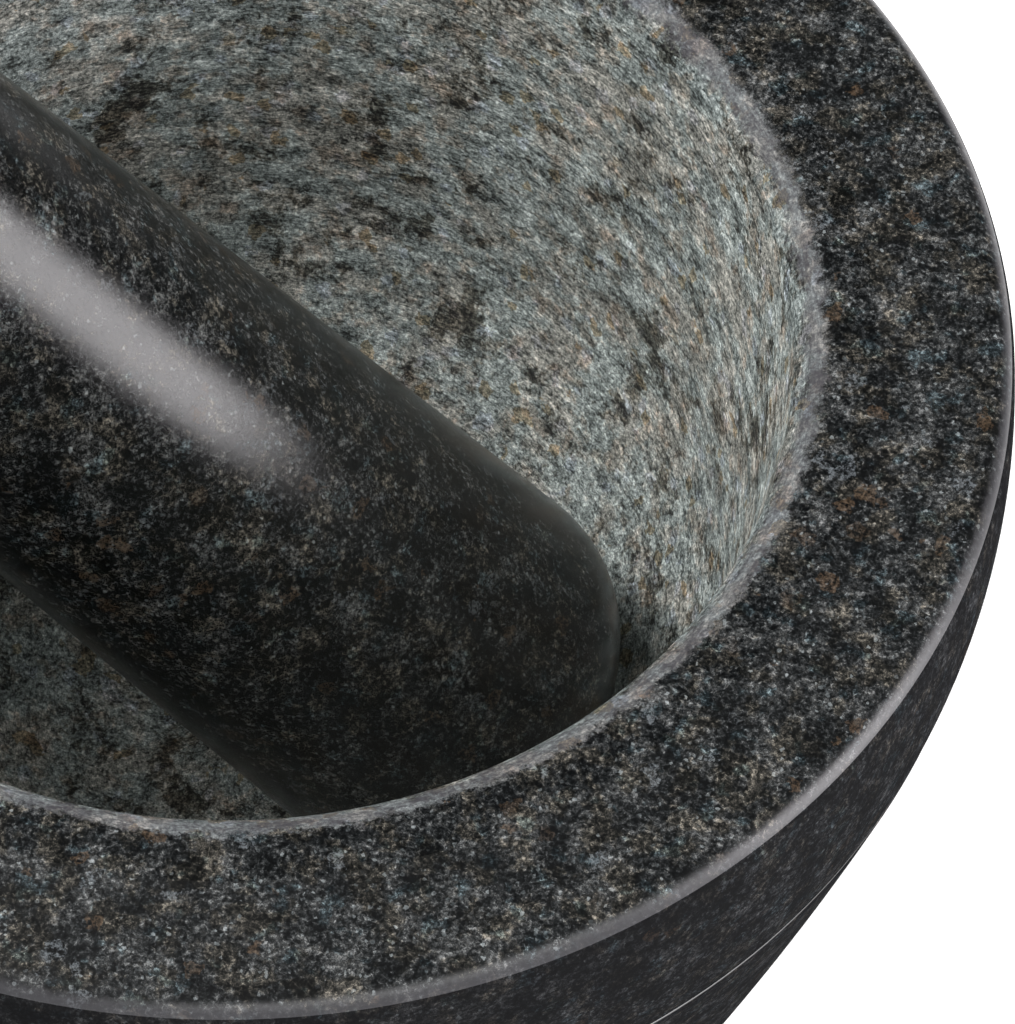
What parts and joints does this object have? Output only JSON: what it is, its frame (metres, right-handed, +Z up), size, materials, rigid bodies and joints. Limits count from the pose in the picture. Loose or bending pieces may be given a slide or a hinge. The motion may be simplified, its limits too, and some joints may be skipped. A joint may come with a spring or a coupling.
{
  "type": "molcajete",
  "caption": "Round polished granite molcajete with a rough-ground bowl and a loose tapered pestle leaning in it.",
  "frame": {"origin": "centre of the mortar's flat base", "axes": "+Z up along the mortar's turning axis; the pestle leans in the XZ plane with its handle towards -X"},
  "size_m": [0.2007, 0.19, 0.1905],
  "materials": {
    "mortar_granite": "polished dark granite outside, rough ground grey inside the bowl",
    "pestle_granite": "polished dark granite"
  },
  "bodies": {
    "mortar_stone": {"mortar": "mortar_granite"},
    "pestle_stone": {"pestle": "pestle_granite"}
  },
  "joints": [
    {"name": "pestle_lift", "type": "slide", "parent": "mortar_stone", "child": "pestle_stone", "axis": [0, 0, 1], "range_m": [0, 0.11]}
  ]
}
